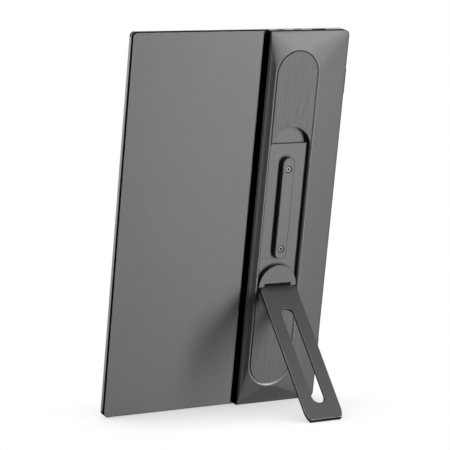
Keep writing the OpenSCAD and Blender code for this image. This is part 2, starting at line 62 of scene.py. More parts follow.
def shader_tree(owner):
    """Switches on the node tree of a material or world, empties it and returns it."""
    owner.use_nodes = True
    tree = owner.node_tree
    tree.nodes.clear()
    return tree


def fill(tree, node, **inputs):
    """Fills a node's inputs, by name or by number after an underscore: a value is set, a socket is joined."""
    for name, value in inputs.items():
        socket = node.inputs[int(name[1:]) if name[0] == "_" else name.replace("_", " ")]
        if isinstance(value, bpy.types.NodeSocket):
            tree.links.new(value, socket)
        else:
            socket.default_value = value
    return node


def add_node(tree, kind, settings=None, **inputs):
    """Adds a node of a kind to a tree, with its settings, and fills its inputs."""
    node = tree.nodes.new("ShaderNode" + kind)
    for name, value in (settings or {}).items():
        setattr(node, name, value)
    return fill(tree, node, **inputs)


def worked(tree, operation, *values):
    """The result of one operation on up to three numbers or sockets."""
    inputs = {f"_{i}": value for i, value in enumerate(values)}
    return add_node(tree, "Math", {"operation": operation}, **inputs).outputs[0]


def ramp(tree, value, start, end, low=0.0, high=1.0):
    """A straight line from low where value is start to high where it is end, level beyond both."""
    line = add_node(tree, "MapRange", Value=value, From_Min=start, From_Max=end, To_Min=low, To_Max=high)
    return line.outputs[0]


def seen_white(tree, mirrored):
    """How far a ray sees plain white, from 0 to 1: wholly if it comes from the lens or through glass, and by
    the share mirrored if it comes from metal."""
    rays = add_node(tree, "LightPath").outputs
    direct = worked(tree, "MAXIMUM", rays["Is Camera Ray"], rays["Is Transmission Ray"])
    return worked(tree, "MAXIMUM", direct, worked(tree, "MULTIPLY", rays["Is Glossy Ray"], mirrored))


room = bpy.data.worlds.new("room")
bpy.context.scene.world = room
tree = shader_tree(room)
# metal sees the white wall behind the monitor, the dark half of the room where the strip box hangs, and a
# grey screen on the other side of it
way = add_node(tree, "SeparateXYZ", Vector=add_node(tree, "TexCoord").outputs["Generated"]).outputs
wall = worked(tree, "MAXIMUM", ramp(tree, way["Y"], 0.1, -0.4), ramp(tree, way["X"], 0.3, 0.62, high=0.5))
dim = add_node(tree, "Background", Color=(1, 1, 1, 1), Strength=0.01)
bright = add_node(tree, "Background", Color=(1, 1, 1, 1), Strength=1.0)
both = add_node(tree, "MixShader", _0=seen_white(tree, wall), _1=dim.outputs[0], _2=bright.outputs[0])
add_node(tree, "OutputWorld", Surface=both.outputs[0])

FLOOR_HALF = 9
floor_mesh = bpy.data.meshes.new("studio_floor")
floor_mesh.from_pydata([(x * FLOOR_HALF, y * FLOOR_HALF, 0) for x, y in ((-1, -1), (1, -1), (1, 1), (-1, 1))],
                       [], [(0, 1, 2, 3)])
studio_floor = bpy.data.objects.new("studio_floor", floor_mesh)
bpy.context.collection.objects.link(studio_floor)
white_floor = bpy.data.materials.new("white_floor")
tree = shader_tree(white_floor)
# the lens sees it white, with a painted shadow greyer the closer something stands over it; it lights things
# as a mid grey
shade = add_node(tree, "AmbientOcclusion", {"samples": 16}, Color=(1, 1, 1, 1), Distance=0.12)
glow = add_node(tree, "Emission", Color=ramp(tree, shade.outputs["AO"], 0.0, 0.92, low=0.45), Strength=1.0)
matt = add_node(tree, "BsdfDiffuse", Color=(0.22, 0.22, 0.22, 1))
spot = add_node(tree, "SeparateXYZ", Vector=add_node(tree, "TexCoord").outputs["Object"]).outputs
both = add_node(tree, "MixShader", _0=seen_white(tree, ramp(tree, spot["Y"], -0.08, -0.25)),
                _1=matt.outputs[0], _2=glow.outputs[0])
add_node(tree, "OutputMaterial", Surface=both.outputs[0])
floor_mesh.materials.append(white_floor)

# ---- The lamps ----
# A tall strip box stands level with the monitor, off to the side that its thick edge is on, and reaches past
# the floor's level. A broad soft box lights the cover, and a small one hangs just behind the back's plane,
# where only the worn edges with their painted highlight catch it.


def soft_box(name, place, size, power):
    """Hangs a rectangular area lamp at place in metres, turned to face the middle of the slab."""
    lamp = bpy.data.lights.new(name, "AREA")
    lamp.shape = "RECTANGLE"
    lamp.size, lamp.size_y = size
    lamp.energy = power
    hung = bpy.data.objects.new(name, lamp)
    aim = np.array((0, 0, 0.18)) - np.array(place)
    hung.location = place
    hung.rotation_euler = (math.atan2(math.hypot(aim[0], aim[1]), -aim[2]), 0, math.atan2(-aim[0], aim[1]))
    hung.visible_camera = False
    bpy.context.collection.objects.link(hung)


soft_box("key_box", (-0.8025, 1.1264, 0.30), size=(0.167, 2.65), power=13.8)
soft_box("fill_box", (0.80, -1.70, 0.95), size=(1.5, 1.5), power=26)
soft_box("edge_box", (1.45, -0.16, 1.30), size=(0.7, 0.7), power=7)
studio_floor.visible_shadow = False

# ---- Slab: the metal back ----
# The screen's back is one sheet of aluminium, 0.8 mm thick, blasted to a fine matt grain and anodised grey.
# It is glued into the frame behind the screen, with its cut edge just inside the frame's.

MM = 0.001
LEAN = math.radians(9.829657)
SHIFT_X, SHIFT_Y, SHIFT_Z = 0.35, -53.3185, 0.9697  # of the slab's own zero, in mm


def stood(x, y, z):
    """Stands the slab's own places on the floor, in metres: x across, y out of its back and z up along it, in
    mm, are turned back by the lean about X and shifted to where the slab stands."""
    x, y, z = (np.asarray(v, float) for v in (x, y, z))
    return MM * np.stack([x + SHIFT_X,
                          y * math.cos(LEAN) + z * math.sin(LEAN) + SHIFT_Y,
                          z * math.cos(LEAN) - y * math.sin(LEAN) + SHIFT_Z], axis=-1)


def merged_copy(node, name):
    """A CAD node's mesh under a new name, and a bmesh of it whose loose triangles are merged. What the import
    noted about its normals is dropped."""
    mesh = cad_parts[node].data.copy()
    mesh.name = name
    for old in ("custom_normal", "sharp_face", "sharp_edge"):
        if old in mesh.attributes:
            mesh.attributes.remove(mesh.attributes[old])
    shape = bmesh.new()
    shape.from_mesh(mesh)
    bmesh.ops.remove_doubles(shape, verts=shape.verts, dist=2e-6)
    return mesh, shape


def linked(name, mesh, shape, finish):
    """Writes a bmesh into its mesh, gives it one finish and makes it an object."""
    shape.to_mesh(mesh)
    shape.free()
    mesh.materials.clear()
    mesh.materials.append(finish)
    piece = bpy.data.objects.new(name, mesh)
    bpy.context.collection.objects.link(piece)
    return piece


# Edges sharper than 28 degrees are broken. A face counts as flat if it has many corners, or if its area is
# over 40 square mm and over a 50th of its rim squared, so that the slivers of a curve don't.
BROKEN_FROM, MANY_CORNERS, LARGE_FACE, COMPACT = math.radians(28), 8, 40e-6, 0.02


def softened(name, node, body, finish, radius, steps=2):
    """A copy of a CAD node with its edges broken: the triangles of one flat face are joined, and every sharp
    edge gets a rounding of radius mm in so many steps. Shading stops at the rim of each flat face."""
    mesh, shape = merged_copy(node, name)
    bmesh.ops.dissolve_limit(shape, angle_limit=math.radians(0.6), verts=shape.verts, edges=shape.edges)
    for face in shape.faces:
        face.smooth = True
        area, rim = face.calc_area(), face.calc_perimeter()
        if len(face.verts) > MANY_CORNERS or (area > LARGE_FACE and area > COMPACT * rim * rim):
            for edge in face.edges:
                edge.smooth = False
    piece = linked(name, mesh, shape, finish)
    bevel = piece.modifiers.new("broken_edges", "BEVEL")
    bevel.width = radius * MM
    bevel.segments = steps
    bevel.limit_method = "ANGLE"
    bevel.angle_limit = BROKEN_FROM
    bevel.harden_normals = True
    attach(piece, body)
    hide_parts(node)
    return piece


def new_group(name, outputs, **inputs):
    """Starts a node group and returns it, its inputs and its output node. Each input is given with the value
    it has until a material sets it: a number, a colour, or None for a place. Of the outputs, Colour is a
    colour and the others are numbers."""
    group = bpy.data.node_groups.new(name, "ShaderNodeTree")
    kinds = {float: "NodeSocketFloat", tuple: "NodeSocketColor", type(None): "NodeSocketVector"}
    for label, value in inputs.items():
        socket = group.interface.new_socket(name=label, in_out="INPUT", socket_type=kinds[type(value)])
        if value is not None:
            socket.default_value = value
    for label in outputs:
        kind = "NodeSocketColor" if label == "Colour" else "NodeSocketFloat"
        group.interface.new_socket(name=label, in_out="OUTPUT", socket_type=kind)
    return group, group.nodes.new("NodeGroupInput").outputs, group.nodes.new("NodeGroupOutput")


def noise(tree, place, scale, detail, roughness=0.5):
    """A cloud of random values about 0.5, scale lumps to the metre, with detail finer layers."""
    cloud = add_node(tree, "TexNoise", Vector=place, Scale=scale, Detail=detail, Roughness=roughness)
    return cloud.outputs["Fac"]


def times(tree, colour, level):
    """A colour made lighter or darker by level."""
    return add_node(tree, "VectorMath", {"operation": "SCALE"}, _0=colour, Scale=level).outputs[0]


def painted_corner_shade(tree, reach, deepest_shade, unshaded, least):
    """Painted shade: 1 on open faces, falling to least in inner corners: a ramp over the share of sky seen
    within reach metres, from deepest_shade to unshaded."""
    sky = add_node(tree, "AmbientOcclusion", {"samples": 8}, Distance=reach).outputs["AO"]
    return ramp(tree, sky, deepest_shade, unshaded, low=least)


# Fine matt grain: a speckle of the blasting grit and its clumps over a slow drift of the dye, with painted
# shade darker in inner corners, as a colour, a roughness and a height.
grain_and_corner_shade, given, gives = new_group("grain_and_corner_shade", ("Colour", "Roughness", "Height"), Place=None,
                                     Colour=(0.2, 0.2, 0.2, 1), Speckle=0.15, Drift=0.06, Dull=0.43,
                                     Corner=0.0015)
grit = noise(grain_and_corner_shade, given["Place"], 2600.0, 3.0, 0.65)
drift = noise(grain_and_corner_shade, given["Place"], 14.0, 3.0)
clumps = noise(grain_and_corner_shade, given["Place"], 620.0, 2.0)
CLUMPED = 1.6  # how much the clumps count against the grit
specks = worked(grain_and_corner_shade, "MULTIPLY_ADD", clumps, CLUMPED, grit)
level = worked(grain_and_corner_shade, "MULTIPLY_ADD", specks, given["Speckle"], 1.0)
level = worked(grain_and_corner_shade, "MULTIPLY_ADD", drift, given["Drift"], level)
# half of what both can add is taken off again, so the mean stays the colour's own
most = worked(grain_and_corner_shade, "MULTIPLY_ADD", given["Speckle"], 1 + CLUMPED, given["Drift"])
level = worked(grain_and_corner_shade, "MULTIPLY_ADD", most, -0.5, level)
# painted shade: darker in inner corners, by the share of sky each point sees
unshaded = painted_corner_shade(grain_and_corner_shade, given["Corner"], deepest_shade=0.45, unshaded=0.85, least=0.12)
level = worked(grain_and_corner_shade, "MULTIPLY", level, unshaded)
fill(grain_and_corner_shade, gives, Colour=times(grain_and_corner_shade, given["Colour"], level),
     Roughness=worked(grain_and_corner_shade, "MULTIPLY_ADD", grit, 0.06, given["Dull"]), Height=grit)


def new_finish(name):
    """Starts a material and returns it, its tree, and the place its patterns read: Object coordinates turned
    to the slab's own directions, so that they run along it."""
    finish = bpy.data.materials.new(name)
    tree = shader_tree(finish)
    place = add_node(tree, "TexCoord").outputs["Object"]
    return finish, tree, add_node(tree, "Mapping", Vector=place, Rotation=(LEAN, 0, 0)).outputs[0]


def use_group(tree, group, **inputs):
    """Places a node group in a material, fills its inputs and returns its outputs."""
    return add_node(tree, "Group", {"node_tree": group}, **inputs).outputs


def coat(tree, height=None, bump=0.0, depth=0.0002, **look):
    """Ends a material in a Principled shader with the given look. Where there is a height, bump is how
    strongly it tilts the surface and depth how deep it goes in metres."""
    if height is not None:
        relief = add_node(tree, "Bump", Strength=bump, Distance=depth, Height=height)
        look["Normal"] = relief.outputs[0]
    skin = add_node(tree, "BsdfPrincipled", **look)
    add_node(tree, "OutputMaterial", Surface=skin.outputs[0])


def blasted_metal(name, colour, speckle=0.15, drift=0.06, dull=0.43, corner=0.0015):
    """Aluminium blasted and anodised in colour: broad highlights, a grain that is only just seen, and painted
    shade in inner corners.
    """
    finish, tree, place = new_finish(name)
    grain = use_group(tree, grain_and_corner_shade, Place=place, Colour=colour, Speckle=speckle, Drift=drift, Dull=dull,
                      Corner=corner)
    coat(tree, grain["Height"], 0.05, Base_Color=grain["Colour"], Metallic=1.0, Roughness=grain["Roughness"])
    return finish


grey_metal = blasted_metal("grey_anodised", (0.215, 0.215, 0.219, 1))
softened("slab_back", "rear_panel", "monitor", grey_metal, 0.12, steps=1)

# ---- Slab: the black frame ----
# A tray of black glass-filled plastic holds the screen's layers and takes the metal back's edge.
# Its outer wall shows as a black line all round the slab.

# Moulded skin: a fine leathery pebble left by the etched mould, as a colour, a roughness and a height.
moulded_skin, given, gives = new_group("moulded_skin", ("Colour", "Roughness", "Height"), Place=None,
                                       Colour=(0.02, 0.02, 0.02, 1), Pebble=1800.0, Dull=0.5)
pebble = noise(moulded_skin, given["Place"], given["Pebble"], 4.0, 0.6)
rubbed = noise(moulded_skin, given["Place"], 40.0, 2.0)
fill(moulded_skin, gives, Colour=times(moulded_skin, given["Colour"],
                                       ramp(moulded_skin, pebble, 0.3, 0.7, 0.85, 1.2)),
     Roughness=worked(moulded_skin, "MULTIPLY_ADD", rubbed, 0.12, given["Dull"]), Height=pebble)


def moulded_plastic(name, colour, dull=0.5, pebble=1800.0, bump=0.08, gloss=0.4):
    """Moulded plastic in colour with the pebbled skin of its mould; gloss is how strongly it mirrors."""
    finish, tree, place = new_finish(name)
    skin = use_group(tree, moulded_skin, Place=place, Colour=colour, Pebble=pebble, Dull=dull)
    coat(tree, skin["Height"], bump, Base_Color=skin["Colour"], Roughness=skin["Roughness"],
         Specular_IOR_Level=gloss)
    return finish


black_plastic = moulded_plastic("black_frame_plastic", (0.004, 0.004, 0.0044, 1), dull=0.7, gloss=0.008)
softened("slab_frame", "mid_frame", "monitor", black_plastic, 0.2)

# ---- Slab: the front frame ----
# The bezel round the glass is a moulding in dark grey, with a satin skin.
# It is clipped on from the front and carries the magnets that hold the cover shut.

bezel_plastic = moulded_plastic("bezel_plastic", (0.035, 0.035, 0.037, 1), dull=0.42, pebble=2400.0)
softened("slab_bezel", "front_frame", "monitor", bezel_plastic, 0.2)

# ---- Rear housing: the domed shell ----
# The thick part over the long edge is a pressed aluminium shell, blasted and anodised like the slab's back.
# Its foot is 5.68 mm off the slab's back, and its face rises from there in a shallow dome to 9 mm at the ring
# of the stand.


def sheet_faces(rows, cols, closed_rows=False, closed_cols=False):
    """The four-cornered faces of a grid of rows x cols points, joined round where it is closed."""
    r, c = np.mgrid[:rows - (not closed_rows), :cols - (not closed_cols)]
    row, column, next_row, next_column = r * cols, c, (r + 1) % rows * cols, (c + 1) % cols
    faces = [row + column, row + next_column, next_row + next_column, next_row + column]
    return np.stack(faces, -1).reshape(-1, 4)


def surface(name, body, finish, points, faces, smooth_angle=30):
    """Makes a piece from an array of places in metres and an array of four-cornered faces. Doubled points are
    merged, empty faces dropped, and the faces turned outwards. Edges sharper than smooth_angle stay sharp."""
    mesh = bpy.data.meshes.new(name)
    mesh.from_pydata(points.reshape(-1, 3).tolist(), [], faces.tolist())
    shape = bmesh.new()
    shape.from_mesh(mesh)
    bmesh.ops.remove_doubles(shape, verts=shape.verts, dist=1e-6)
    bmesh.ops.dissolve_degenerate(shape, edges=shape.edges, dist=1e-7)
    bmesh.ops.recalc_face_normals(shape, faces=shape.faces)
    limit = math.radians(smooth_angle)
    for edge in shape.edges:
        edge.smooth = len(edge.link_faces) == 2 and edge.calc_face_angle(0) < limit
    for face in shape.faces:
        face.smooth = True
    piece = linked(name, mesh, shape, finish)
    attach(piece, body)
    return piece


def arc(x, z, radius, angles):
    """Points on a circle of radius round x, z at the given angles, as x and z in mm."""
    return np.stack([x + radius * np.cos(angles), z + radius * np.sin(angles)], -1)


def at_height(outline, y):
    """An outline in x and z with the height y put in between."""
    return np.insert(outline, 1, y, axis=1)


EDGE_X, HOUSING_X, SLAB_H = -110.75, -25.95, 355.0
OUTER_CORNER, INNER_CORNER, CORNER_STEPS = 4.5, 0.6, 25
WALL_Y, CROWN_Y, EDGE_ROUND = 5.68, 9.0, 0.5
LIP, RING_SIDE, RIM_WIDE = 0.1, 2.4, 1.0  # below the round edge, down inside the ring, and in from the foot
STAND_X, RING_R, PILL_LOW, PILL_HIGH = -56.7, 23.5, 40.9, 315.7


def dome_outlines():
    """Pairs of points with the same outward direction, on the shell's foot and on the ring's outside, and
    that direction. The foot is a rectangle with two round corners on the outer edge and two near-square ones;
    the ring is a stadium. A dome stretched over both is the straight lines between such pairs."""
    foot, ring, turns = [], [], []
    inner_x, outer_x = HOUSING_X - INNER_CORNER, EDGE_X + OUTER_CORNER
    corners = [(inner_x, SLAB_H - INNER_CORNER, INNER_CORNER, PILL_HIGH),
               (outer_x, SLAB_H - OUTER_CORNER, OUTER_CORNER, PILL_HIGH),
               (outer_x, OUTER_CORNER, OUTER_CORNER, PILL_LOW),
               (inner_x, INNER_CORNER, INNER_CORNER, PILL_LOW)]
    for quarter, (x, z, r, ring_z) in enumerate(corners):
        a = np.radians(90 * quarter + np.linspace(0, 90, CORNER_STEPS))
        foot.append(arc(x, z, r, a))
        ring.append(arc(STAND_X, ring_z, RING_R, a))
        turns.append(a)
    return np.concatenate(foot), np.concatenate(ring), np.concatenate(turns)


foot, ring, turns = dome_outlines()
inward = -np.stack([np.cos(turns), np.sin(turns)], -1)
fall = (CROWN_Y - WALL_Y) / ((ring - foot) * inward).sum(1)
# from the foot round the pressed edge, over the dome to the crown, down inside the ring, and back underneath
rows = [at_height(foot, WALL_Y - EDGE_ROUND - LIP)]
for theta in np.radians(np.linspace(0, 90, 6)):
    step = EDGE_ROUND * (1 - math.cos(theta))
    rows.append(at_height(foot + inward * step, WALL_Y - EDGE_ROUND * (1 - math.sin(theta)) + fall * step))
brow, crown = rows[-1], at_height(ring, CROWN_Y)
rows += [brow * (1 - t) + crown * t for t in np.linspace(0.08, 1, 12)]
rows.append(at_height(ring, CROWN_Y - RING_SIDE))
rows.append(at_height(foot + inward * RIM_WIDE, WALL_Y - EDGE_ROUND - LIP))
dome = surface("housing_dome", "monitor", grey_metal, stood(*np.moveaxis(np.stack(rows), -1, 0)),
               sheet_faces(len(rows), len(foot), closed_rows=True, closed_cols=True))
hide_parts("housing_shell")

# ---- Rear housing: the walls ----
# The dome's walls are a black moulding under the pressed face, with the video socket's cut-out in its end.
# They are the housing's own shape, cut off just under the pressed edge and closed with a flat face.

CUT_UNDER = 0.08
wall_mesh, shape = merged_copy("housing_shell", "housing_walls")
out_of_back = (0, math.cos(LEAN), -math.sin(LEAN))
cut = bmesh.ops.bisect_plane(shape, geom=shape.verts[:] + shape.edges[:] + shape.faces[:], clear_outer=True,
                             plane_co=tuple(stood(0, WALL_Y - EDGE_ROUND - CUT_UNDER, 0)),
                             plane_no=out_of_back)
rim = [piece for piece in cut["geom_cut"] if isinstance(piece, bmesh.types.BMEdge) and piece.is_boundary]
bmesh.ops.triangle_fill(shape, edges=rim, use_beauty=True, normal=out_of_back)
for face in shape.faces:
    face.smooth = False
walls = linked("housing_walls", wall_mesh, shape, black_plastic)
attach(walls, "monitor")

# ---- Rear housing: the side strip ----
# A wedge of black plastic fills the step from the housing down to the slab's back, mitred at both ends.
# It is the cover over the join between the shell and the slab.

strip_plastic = moulded_plastic("strip_plastic", (0.001, 0.001, 0.0011, 1), dull=0.62, gloss=0.03)
softened("side_strip", "housing_side_strip", "monitor", strip_plastic, 0.15)

# ---- Rear housing: the end plate ----
# A plate of bright anodised aluminium closes the slab's upper end, glued over the sockets.
# Its three mouths are punched, and painted shade darkens them.

pale_metal = blasted_metal("pale_anodised", (0.40, 0.40, 0.397, 1), speckle=0.03, drift=0.03, dull=0.3,
                           corner=0.006)
softened("end_plate", "port_plate", "monitor", pale_metal, 0.12, steps=1)

# ---- The side feet ----
# Two pads of black rubber keep the metal off the table when the monitor stands on its long edge.
# They are moulded with a coarse skin and glued on.

rubber_black = moulded_plastic("rubber_black", (0.012, 0.012, 0.012, 1), dull=0.72, pebble=900.0, bump=0.15)
softened("side_feet", "edge_feet", "monitor", rubber_black, 0.25)

# ---- Stand: the bright ring ----
# A band of aluminium, milled to a bright slope, frames the stand and is let into the dome's crown.
# Its outer lip stands 9 mm up and it falls inwards to 8.2 mm, so it mirrors the room.

# Turned metal: faint turning lines, finger marks that dull it, and painted shade in inner corners, as a
# colour and a roughness.
turned_lines_and_corner_shade, given, gives = new_group("turned_lines_and_corner_shade", ("Colour", "Roughness"), Place=None,
                                       Colour=(0.4, 0.4, 0.4, 1), Rough=0.3, Corner=0.001)
lines = ramp(turned_lines_and_corner_shade, noise(turned_lines_and_corner_shade, given["Place"], 900.0, 2.0), 0.0, 1.0, 0.9, 1.08)
marks = ramp(turned_lines_and_corner_shade, noise(turned_lines_and_corner_shade, given["Place"], 60.0, 4.0), 0.35, 0.7, high=0.12)
# painted shade: darker in inner corners, by the share of sky each point sees
unshaded = painted_corner_shade(turned_lines_and_corner_shade, given["Corner"], deepest_shade=0.35, unshaded=0.85, least=0.05)
fill(turned_lines_and_corner_shade, gives,
     Colour=times(turned_lines_and_corner_shade, given["Colour"], worked(turned_lines_and_corner_shade, "MULTIPLY", lines, unshaded)),
     Roughness=worked(turned_lines_and_corner_shade, "ADD", marks, given["Rough"]))


def bright_metal(name, colour, rough, corner=0.001):
    """Polished metal in colour: faint lines and finger marks, and painted shade where corners are deeper than
    corner metres."""
    finish, tree, place = new_finish(name)
    look = use_group(tree, turned_lines_and_corner_shade, Place=place, Colour=(*colour, 1), Rough=rough, Corner=corner)
    coat(tree, Base_Color=look["Colour"], Metallic=1.0, Roughness=look["Roughness"])
    return finish


def stadium(radius, low, high, steps):
    """Points round an upright outline with two round ends about the stand's axis, centred at the heights low
    and high, from its upper right, anticlockwise, as x and z in mm."""
    half_turn = np.radians(np.linspace(0, 180, steps))
    return np.concatenate([arc(STAND_X, high, radius, half_turn), arc(STAND_X, low, -radius, half_turn)])


ring_finish = bright_metal("ring_bright", (0.38, 0.38, 0.385), 0.42, corner=0.0002)
# the band's section as radius and height: up its outside, over the lip, down the slope, and down its inside
profile = [(RING_R, 7.0), (RING_R, 8.92), (23.42, CROWN_Y), (22.95, CROWN_Y), (22.8, 8.96), (21.35, 8.36),
           (21.25, 8.3), (21.2, 8.2), (21.2, 7.0)]
band = np.stack([at_height(stadium(radius, PILL_LOW, PILL_HIGH, 49), y) for radius, y in profile])
ring_piece = surface("bright_ring", "monitor", ring_finish, stood(*np.moveaxis(band, -1, 0)),
                     sheet_faces(len(profile), band.shape[1], closed_rows=True, closed_cols=True),
                     smooth_angle=14)
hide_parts("stand_ring")

# ---- Stand: the two brushed plates ----
# Above and below the recess the stand is filled with aluminium plates, brushed lengthwise on a belt.
# They are 1 mm thick and glued down, with their faces level with the ring's outer lip.

# Brushed grain: long scratches along one direction over irregular smudges, as a colour, roughness and height.
brushed_grain, given, gives = new_group("brushed_grain", ("Colour", "Roughness", "Height"), Place=None,
                                        Colour=(0.2, 0.2, 0.2, 1), Streak=0.35, Smudge=0.25)
along = add_node(brushed_grain, "Mapping", Vector=given["Place"], Scale=(1, 1, 0.03)).outputs[0]
scratch = noise(brushed_grain, along, 1500.0, 4.0, 0.7)
wide = add_node(brushed_grain, "Mapping", Vector=given["Place"], Scale=(1, 1, 0.35)).outputs[0]
smudges = ramp(brushed_grain, noise(brushed_grain, wide, 260.0, 3.0, 0.7), 0.35, 0.65, -0.5, 0.5)
streaks = ramp(brushed_grain, scratch, 0.3, 0.7, -0.5, 0.5)
level = worked(brushed_grain, "MULTIPLY_ADD", streaks, given["Streak"], 1.0)
level = worked(brushed_grain, "MULTIPLY_ADD", smudges, given["Smudge"], level)
fill(brushed_grain, gives, Colour=times(brushed_grain, given["Colour"], level),
     Roughness=ramp(brushed_grain, scratch, 0.0, 1.0, 0.42, 0.6), Height=scratch)


def brushed_metal(name, colour, streak, smudge):
    """Metal in colour brushed along the slab's height."""
    finish, tree, place = new_finish(name)
    grain = use_group(tree, brushed_grain, Place=place, Colour=colour, Streak=streak, Smudge=smudge)
    coat(tree, grain["Height"], 0.12, Base_Color=grain["Colour"], Metallic=1.0, Roughness=grain["Roughness"])
    return finish


plate_metal = brushed_metal("brushed_plate", (0.198, 0.196, 0.193, 1), streak=0.4, smudge=0.11)
softened("upper_brushed_plate", "upper_plate", "monitor", plate_metal, 0.15)
softened("lower_brushed_plate", "lower_plate", "monitor", plate_metal, 0.15)

# ---- Stand: the recess and its raised pad ----
# The tray is a die-cast magnesium pan, painted to match, that the leg folds into.
# A finger notch is sunk in its upper end, and a raised pad on its floor fills the folded leg's slot.

pan_metal = blasted_metal("pan_paint", (0.205, 0.205, 0.209, 1))
softened("stand_pan", "stand_tray", "monitor", pan_metal, 0.2)
softened("raised_pad", "raised_insert", "monitor", pan_metal, 0.3)

# A black hairline of painted shade runs round the pad's face, where the pad is let into its own rim.
PAD_HALF, PAD_LOW, PAD_HIGH, PAD_Y = 6.2, 147.3, 231.9, 9.3
SHADE_LINE_FROM, SHADE_LINE_TO, SHADE_LINE_DEEP, SHADE_LINE_PROUD = 0.30, 0.62, 0.3, 0.004
black_glue_and_shade = moulded_plastic("black_glue_and_shade", (0.006, 0.006, 0.006, 1), dull=0.6, gloss=0.1)
profile = [(SHADE_LINE_FROM, PAD_Y - SHADE_LINE_DEEP), (SHADE_LINE_FROM, PAD_Y + SHADE_LINE_PROUD), (SHADE_LINE_TO, PAD_Y + SHADE_LINE_PROUD),
           (SHADE_LINE_TO, PAD_Y - SHADE_LINE_DEEP)]
shade_band = np.stack([at_height(stadium(PAD_HALF - inset, PAD_LOW, PAD_HIGH, 41), y) for inset, y in profile])
surface("pad_shade_line", "monitor", black_glue_and_shade, stood(*np.moveaxis(shade_band, -1, 0)),
        sheet_faces(len(profile), shade_band.shape[1], closed_rows=True, closed_cols=True), smooth_angle=20)

# The casting's parting line, black with glue, crosses the recess floor from its wall to the pad: a rounded
# thread whose section shrinks to nothing at both ends.
LINE_FROM, LINE_TO, LINE_Y, LINE_Z = -52.7, -36.0, 4.85, 142.0
LINE_R, LINE_TAPER, LINE_STEPS, LINE_SIDES = 0.12, 12, 15, 8
along = np.linspace(LINE_FROM, LINE_TO, LINE_STEPS)
round_it = np.radians(np.arange(0, 360, 360 // LINE_SIDES)).reshape(-1, 1)
from_end = np.clip(1 - np.abs(np.linspace(-1, 1, LINE_STEPS)), 0, 1)
thick = LINE_R * np.minimum(1, LINE_TAPER * from_end)
points = stood(along + 0 * round_it, LINE_Y + thick * np.sin(round_it), LINE_Z + thick * np.cos(round_it))
surface("parting_line", "monitor", black_glue_and_shade, points,
        sheet_faces(LINE_SIDES, LINE_STEPS, closed_rows=True), smooth_angle=60)

# ---- Stand: the pad's screws ----
# Two small steel screws, sunk below the pad's face, hold it through the pan to the base plate.
# Their heads are ground and lightly blued. The hexagon sockets and the shanks are painted black as shade.

screw_steel = bright_metal("blued_steel", (0.38, 0.40, 0.43), 0.3, corner=0.002)
screws = softened("pad_screws", "insert_screws", "monitor", screw_steel, 0.1, steps=1)
screws.data.materials.append(bright_metal("socket_painted_shade", (0.012, 0.014, 0.02), 0.6))
# the faces painted black as shade are the ones with every corner closer to a screw's axis than the ground rim
# of its head is
RIM_FROM, SCREWS_Z = 1.25, (151.0, 226.8)
corners, places = screws.data.vertices, np.empty(3 * len(screws.data.vertices))
corners.foreach_get("co", places)
places = places.reshape(-1, 3)
along = (places - stood(0, 0, 0)) @ (stood(0, 0, 1) - stood(0, 0, 0)) / MM ** 2
off_axis = np.hypot(places[:, 0] / MM - STAND_X - SHIFT_X, np.abs(along[:, None] - SCREWS_Z).min(axis=1))
corner_of, first = np.empty(len(screws.data.loops), np.int32), np.empty(len(screws.data.polygons), np.int32)
screws.data.loops.foreach_get("vertex_index", corner_of)
screws.data.polygons.foreach_get("loop_start", first)
socket_shade_faces = np.maximum.reduceat(off_axis[corner_of], first) < RIM_FROM
screws.data.polygons.foreach_set("material_index", socket_shade_faces.astype(np.int32))

# ---- Stand: the turntable ----
# A half disc turns on a bright rivet in the foot of the recess and carries the leg's hinge.
# It is cast, and blasted to the same matt grain as the pan round it.

disc_metal = blasted_metal("turntable_metal", (0.2, 0.2, 0.204, 1))
softened("turntable", "turntable_disc", "turntable", disc_metal, 0.3)
rivet_finish = bright_metal("rivet_bright", (0.5, 0.5, 0.51), 0.3)
softened("rivet", "turntable_rivet", "monitor", rivet_finish, 0.2)


def finished(node, finish):
    """Puts a finish on every face of a CAD node that is kept as it is."""
    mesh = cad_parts[node].data
    for i in range(len(mesh.materials)):
        mesh.materials[i] = finish


# The hinge pin is ground steel, painted black as the shade in the gap over the leg.
black_steel_and_gap_shade = bright_metal("black_steel_gap_shade", (0.02, 0.02, 0.021), 0.45)
finished("hinge_pin", black_steel_and_gap_shade)

# ---- The leg ----
# A flat bar of aluminium, 3 mm thick, with a long slot and a round foot. It is pressed out of sheet, tumbled,
# blasted and anodised a shade darker than the slab, and rolled round its hinge pin at the top.

# Its places are in mm: across the bar, out of its plane, and down from the pin.
HINGE_Y, HINGE_Z, LEG_ANGLE = 7.1, 116.4, math.radians(46.8)
LEG_HALF, SLOT_HALF, TONGUE_HALF = 19.5, 6.7, 14.05
SLOT_TOP, SLOT_FOOT, FOOT_ARC, LEG_END = 33.1, 117.7, 131.3, 141.0
SHOULDER, SHOULDER_R, TONGUE_END = 3.3, 2.5, -1.4
LEVEL = 1e-9  # keeps a division off zero where a direction is level or upright


def foot_reach(a):
    """How far the leg's outline lies from the slot's lower centre in direction a: the nearer of its straight
    sides, its round foot and its cut end."""
    c, s = np.abs(np.cos(a)) + LEVEL, np.sin(a) + LEVEL
    side = LEG_HALF / c
    drop = FOOT_ARC - SLOT_FOOT
    round_foot = drop * s + np.sqrt(LEG_HALF ** 2 - (drop * c) ** 2)
    curved = np.where(SLOT_FOOT + side * s > FOOT_ARC, round_foot, side)
    return np.minimum(curved, (LEG_END - SLOT_FOOT) / s)


